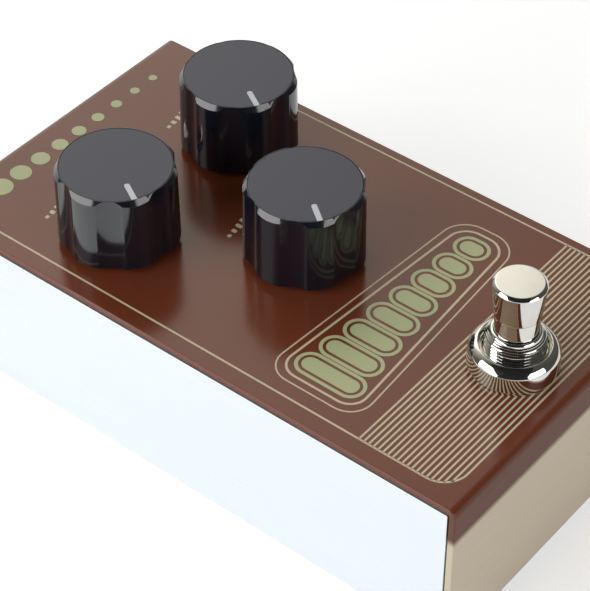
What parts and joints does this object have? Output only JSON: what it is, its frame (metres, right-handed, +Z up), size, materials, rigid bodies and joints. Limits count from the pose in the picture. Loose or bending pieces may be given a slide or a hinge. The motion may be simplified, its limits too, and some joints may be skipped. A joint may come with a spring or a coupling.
{
  "type": "delay pedal",
  "caption": "Floor effect pedal: a folded sheet-metal box with fluted dials, a plated foot switch, an indicator lamp, rear audio jacks and a power inlet.",
  "frame": {"origin": "on the floor under the middle of the whole part, jacks included", "axes": "+X to the player's right, +Y towards the jacks on the rear wall, +Z up"},
  "size_m": [0.074, 0.137, 0.0615],
  "materials": {
    "deck_paint": "satin brown paint with a cream print",
    "tray_metal": "satin pale metallic",
    "rubber": "matt",
    "zinc_steel": "zinc plated",
    "knob_plastic": "gloss black",
    "cap_satin": "fine turned satin",
    "pointer_white": "satin",
    "bright_plate": "mirror plated",
    "pot_blue": "moulded",
    "black_moulding": "moulded",
    "contact_brass": "plated",
    "board_green": "solder mask",
    "cable_grey": "flat cable",
    "can_sleeve": "shrink sleeve",
    "film_red": "dipped",
    "resistor_tan": "lacquered",
    "lamp_red": "clear tinted"
  },
  "bodies": {
    "chassis": {"base_screws": "zinc_steel", "chip_pins": "zinc_steel", "cover": "deck_paint", "delay_chips": "black_moulding", "electrolytic_cans": "can_sleeve", "film_capacitors": "film_red", "jack_bush_in": "bright_plate", "jack_bush_out": "bright_plate", "jack_contacts": "contact_brass", "jack_housing_in": "black_moulding", "jack_housing_out": "black_moulding", "jack_nuts": "bright_plate", "jack_washers": "bright_plate", "lamp_bezel": "bright_plate", "lamp_leads": "zinc_steel", "lamp_lens": "lamp_red", "main_board": "board_green", "pot_base_front": "pot_blue", "pot_base_left": "pot_blue", "pot_base_right": "pot_blue", "pot_bush_front": "zinc_steel", "pot_bush_left": "zinc_steel", "pot_bush_right": "zinc_steel", "pot_nuts": "zinc_steel", "pot_pins": "zinc_steel", "pot_washers": "zinc_steel", "power_body": "black_moulding", "power_contact": "contact_brass", "power_pin": "zinc_steel", "resistors": "resistor_tan", "ribbon_cable": "cable_grey", "ribbon_headers": "black_moulding", "rubber_feet": "rubber", "switch_board": "board_green", "switch_bush": "bright_plate", "switch_case": "pot_blue", "switch_dress_nut": "bright_plate", "switch_frame": "zinc_steel", "switch_inner_nut": "zinc_steel", "switch_lugs": "zinc_steel", "switch_spring": "zinc_steel", "switch_washer": "bright_plate", "tray": "tray_metal"},
    "dial_left": {"knob_left": "knob_plastic", "cap_left": "cap_satin", "pointer_left": "pointer_white", "pot_shaft_left": "zinc_steel"},
    "dial_right": {"knob_right": "knob_plastic", "cap_right": "cap_satin", "pointer_right": "pointer_white", "pot_shaft_right": "zinc_steel"},
    "dial_front": {"knob_front": "knob_plastic", "cap_front": "cap_satin", "pointer_front": "pointer_white", "pot_shaft_front": "zinc_steel"},
    "plunger": {"switch_plunger": "bright_plate"}
  },
  "joints": [
    {"name": "dial_left_turn", "type": "hinge", "parent": "chassis", "child": "dial_left", "pos_m": [-0.01865, 0.0274, 0.04], "axis": [0, 0, -1], "range_deg": [0, 300]},
    {"name": "dial_right_turn", "type": "hinge", "parent": "chassis", "child": "dial_right", "pos_m": [0.01865, 0.0274, 0.04], "axis": [0, 0, -1], "range_deg": [0, 300]},
    {"name": "dial_front_turn", "type": "hinge", "parent": "chassis", "child": "dial_front", "pos_m": [0, -0.00495, 0.04], "axis": [0, 0, -1], "range_deg": [-7, 293]},
    {"name": "plunger_press", "type": "slide", "parent": "chassis", "child": "plunger", "axis": [0, 0, -1], "range_m": [0, 0.0035], "stiffness_N_per_m": 1500, "deforming": ["switch_spring"]}
  ]
}
